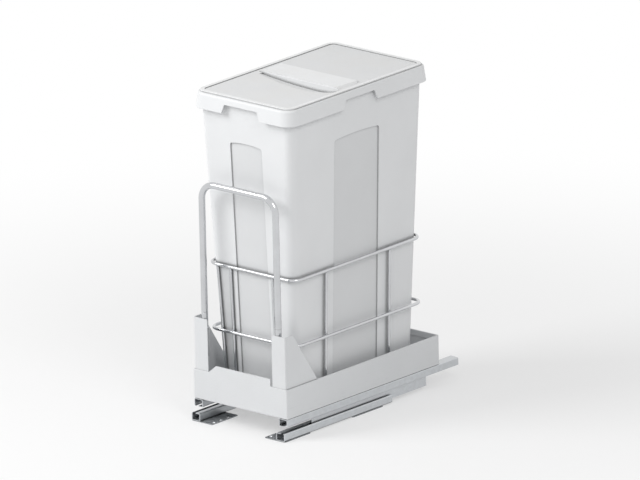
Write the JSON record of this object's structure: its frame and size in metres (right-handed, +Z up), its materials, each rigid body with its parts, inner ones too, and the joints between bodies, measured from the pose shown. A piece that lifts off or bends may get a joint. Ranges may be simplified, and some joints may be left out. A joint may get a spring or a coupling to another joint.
{
  "type": "built-in waste bin",
  "caption": "Pull-out cupboard bin: tapered lidded bucket in a sheet tray with a wire basket and tube handle, on telescopic ball-bearing floor slides.",
  "frame": {"origin": "centre of the footprint at the underside of the mounting plates", "axes": "+X to the right seen from the front, +Y from the front to the rear of the cupboard, +Z up"},
  "size_m": [0.235, 0.472, 0.608],
  "materials": {
    "bin_plastic": "fine texture",
    "lid_plastic": "fine texture",
    "tray_paint": "satin powder coat",
    "chrome_tube": "polished",
    "wire_chrome": "polished",
    "zinc_rail": "zinc plated",
    "zinc_plate": "zinc plated",
    "cage_steel": "rolled",
    "ball_steel": "polished",
    "screw_steel": "zinc plated"
  },
  "bodies": {
    "floor_fixings": {"fixed_rail_left": "zinc_rail", "fixed_rail_right": "zinc_rail", "front_plate_left": "zinc_plate", "front_plate_right": "zinc_plate", "rear_plate_left": "zinc_plate", "rear_plate_right": "zinc_plate", "plate_rivets_left": "screw_steel", "plate_rivets_right": "screw_steel"},
    "middle_left": {"intermediate_rail_left": "zinc_rail"},
    "middle_right": {"intermediate_rail_right": "zinc_rail"},
    "lower_cage_left": {"lower_ball_cage_left": "cage_steel", "lower_balls_left": "ball_steel"},
    "lower_cage_right": {"lower_ball_cage_right": "cage_steel", "lower_balls_right": "ball_steel"},
    "upper_cage_left": {"upper_ball_cage_left": "cage_steel", "upper_balls_left": "ball_steel"},
    "upper_cage_right": {"upper_ball_cage_right": "cage_steel", "upper_balls_right": "ball_steel"},
    "carriage": {"tray": "tray_paint", "bracket_left": "tray_paint", "bracket_right": "tray_paint", "handle_tube": "chrome_tube", "handle_socket_left": "chrome_tube", "handle_socket_right": "chrome_tube", "upper_ring": "wire_chrome", "lower_ring": "wire_chrome", "upright_corner": "wire_chrome", "upright_front_left": "wire_chrome", "upright_front_right": "wire_chrome", "upright_rear_left": "wire_chrome", "upright_rear_right": "wire_chrome", "upright_left_front": "wire_chrome", "upright_left_rear": "wire_chrome", "upright_right_front": "wire_chrome", "upright_right_rear": "wire_chrome", "moving_rail_left": "zinc_rail", "moving_rail_right": "zinc_rail", "tray_screws_left": "screw_steel", "tray_screws_right": "screw_steel", "bracket_screws_left": "screw_steel", "bracket_screws_right": "screw_steel"},
    "bucket": {"bin": "bin_plastic", "bin_rim": "bin_plastic"},
    "cover": {"lid": "lid_plastic"}
  },
  "joints": [
    {"name": "tray_slide", "type": "slide", "parent": "floor_fixings", "child": "carriage", "axis": [0, -1, 0], "range_m": [0, 0.42]},
    {"name": "middle_slide_left", "type": "slide", "parent": "floor_fixings", "child": "middle_left", "axis": [0, -1, 0], "range_m": [0, 0.21]},
    {"name": "middle_slide_right", "type": "slide", "parent": "floor_fixings", "child": "middle_right", "axis": [0, -1, 0], "range_m": [0, 0.21]},
    {"name": "lower_cage_slide_left", "type": "slide", "parent": "floor_fixings", "child": "lower_cage_left", "axis": [0, -1, 0], "range_m": [0, 0.105]},
    {"name": "lower_cage_slide_right", "type": "slide", "parent": "floor_fixings", "child": "lower_cage_right", "axis": [0, -1, 0], "range_m": [0, 0.105]},
    {"name": "upper_cage_slide_left", "type": "slide", "parent": "floor_fixings", "child": "upper_cage_left", "axis": [0, -1, 0], "range_m": [0, 0.315]},
    {"name": "upper_cage_slide_right", "type": "slide", "parent": "floor_fixings", "child": "upper_cage_right", "axis": [0, -1, 0], "range_m": [0, 0.315]},
    {"name": "bin_lift", "type": "slide", "parent": "carriage", "child": "bucket", "axis": [0, 0, 1], "range_m": [0, 0.26]},
    {"name": "lid_lift", "type": "slide", "parent": "bucket", "child": "cover", "axis": [0, 0, 1], "range_m": [0, 0.05]}
  ],
  "couplings": [
    {"joint": "middle_slide_left", "follows": "tray_slide", "ratio": 0.5},
    {"joint": "middle_slide_right", "follows": "tray_slide", "ratio": 0.5},
    {"joint": "lower_cage_slide_left", "follows": "tray_slide", "ratio": 0.25},
    {"joint": "lower_cage_slide_right", "follows": "tray_slide", "ratio": 0.25},
    {"joint": "upper_cage_slide_left", "follows": "tray_slide", "ratio": 0.75},
    {"joint": "upper_cage_slide_right", "follows": "tray_slide", "ratio": 0.75}
  ]
}
